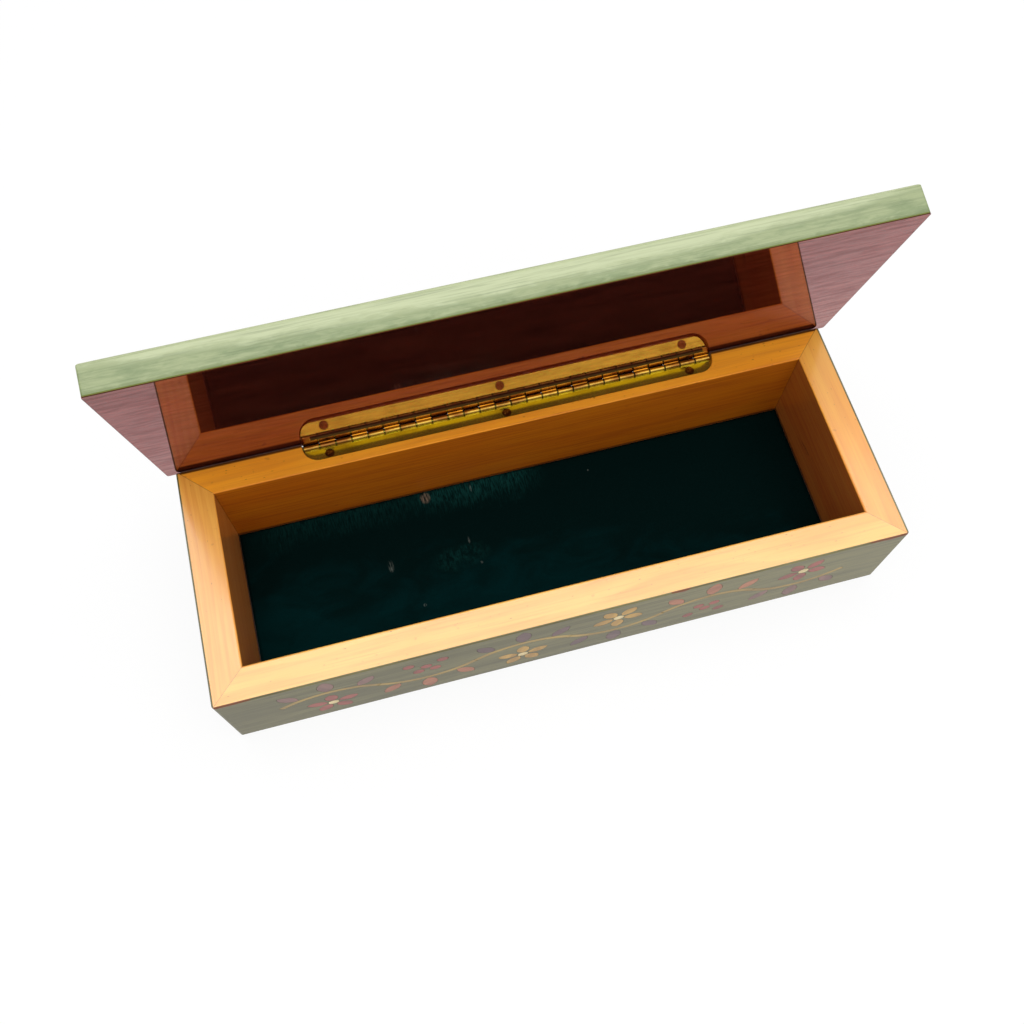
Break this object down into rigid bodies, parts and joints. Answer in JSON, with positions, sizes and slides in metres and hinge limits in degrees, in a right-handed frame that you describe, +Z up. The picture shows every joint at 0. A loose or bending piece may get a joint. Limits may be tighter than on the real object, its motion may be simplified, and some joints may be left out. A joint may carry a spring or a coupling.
{
  "type": "hinged box",
  "caption": "Long low wooden box with inlaid dyed veneer, a hinged slab lid on a continuous brass hinge and a velvet-lined bottom.",
  "frame": {"origin": "centre of the box's flat underside", "axes": "+X along the box's length to the right, +Y from the front to the hinged back, +Z up"},
  "size_m": [0.2676, 0.105, 0.1388],
  "materials": {
    "honey_wood": "clear satin lacquer on pale softwood",
    "green_veneer": "dyed veneer under gloss lacquer",
    "green_edging": "dyed solid edging under gloss lacquer",
    "plywood": "bare plywood",
    "card": "plain grey card",
    "velvet": "short-pile cotton velvet",
    "mahogany_veneer": "polished mahogany veneer under gloss lacquer",
    "tan_inlay": "dyed veneer under gloss lacquer",
    "mauve_inlay": "dyed veneer under gloss lacquer",
    "rust_inlay": "dyed veneer under gloss lacquer",
    "plum_inlay": "dyed veneer under gloss lacquer",
    "red_inlay": "dyed veneer under gloss lacquer",
    "gold_inlay": "dyed veneer under gloss lacquer",
    "cream_inlay": "dyed veneer under gloss lacquer",
    "brass": "polished, aged",
    "screw_brass": "tarnished brass"
  },
  "bodies": {
    "box": {"front_wall": "honey_wood", "back_wall": "honey_wood", "left_wall": "honey_wood", "right_wall": "honey_wood", "bottom_panel": "plywood", "lining_card": "card", "velvet_lining": "velvet", "front_veneer": "green_veneer", "back_veneer": "green_veneer", "left_veneer": "green_veneer", "right_veneer": "green_veneer", "front_stems": "tan_inlay", "front_leaves_mauve": "mauve_inlay", "front_leaves_rust": "rust_inlay", "front_leaves_plum": "plum_inlay", "front_petals_red": "red_inlay", "front_petals_gold": "gold_inlay", "front_eyes": "cream_inlay", "front_berries": "red_inlay", "hinge_box_leaf": "brass", "hinge_pin": "brass", "box_leaf_screws": "screw_brass"},
    "lid": {"lid_core": "plywood", "lid_front_edging": "green_edging", "lid_back_edging": "green_edging", "lid_left_edging": "green_edging", "lid_right_edging": "green_edging", "lid_underside_veneer": "mahogany_veneer", "lid_top_veneer": "green_veneer", "top_stems": "tan_inlay", "top_leaves_mauve": "mauve_inlay", "top_leaves_rust": "rust_inlay", "top_petals_gold": "gold_inlay", "top_petals_red": "red_inlay", "top_eyes": "cream_inlay", "top_berries": "red_inlay", "hinge_lid_leaf": "brass", "lid_leaf_screws": "screw_brass"}
  },
  "joints": [
    {"name": "lid_hinge", "type": "hinge", "parent": "box", "child": "lid", "pos_m": [0, 0.0451, 0.04153], "axis": [-1, 0, 0], "range_deg": [-77.5, 15]}
  ]
}
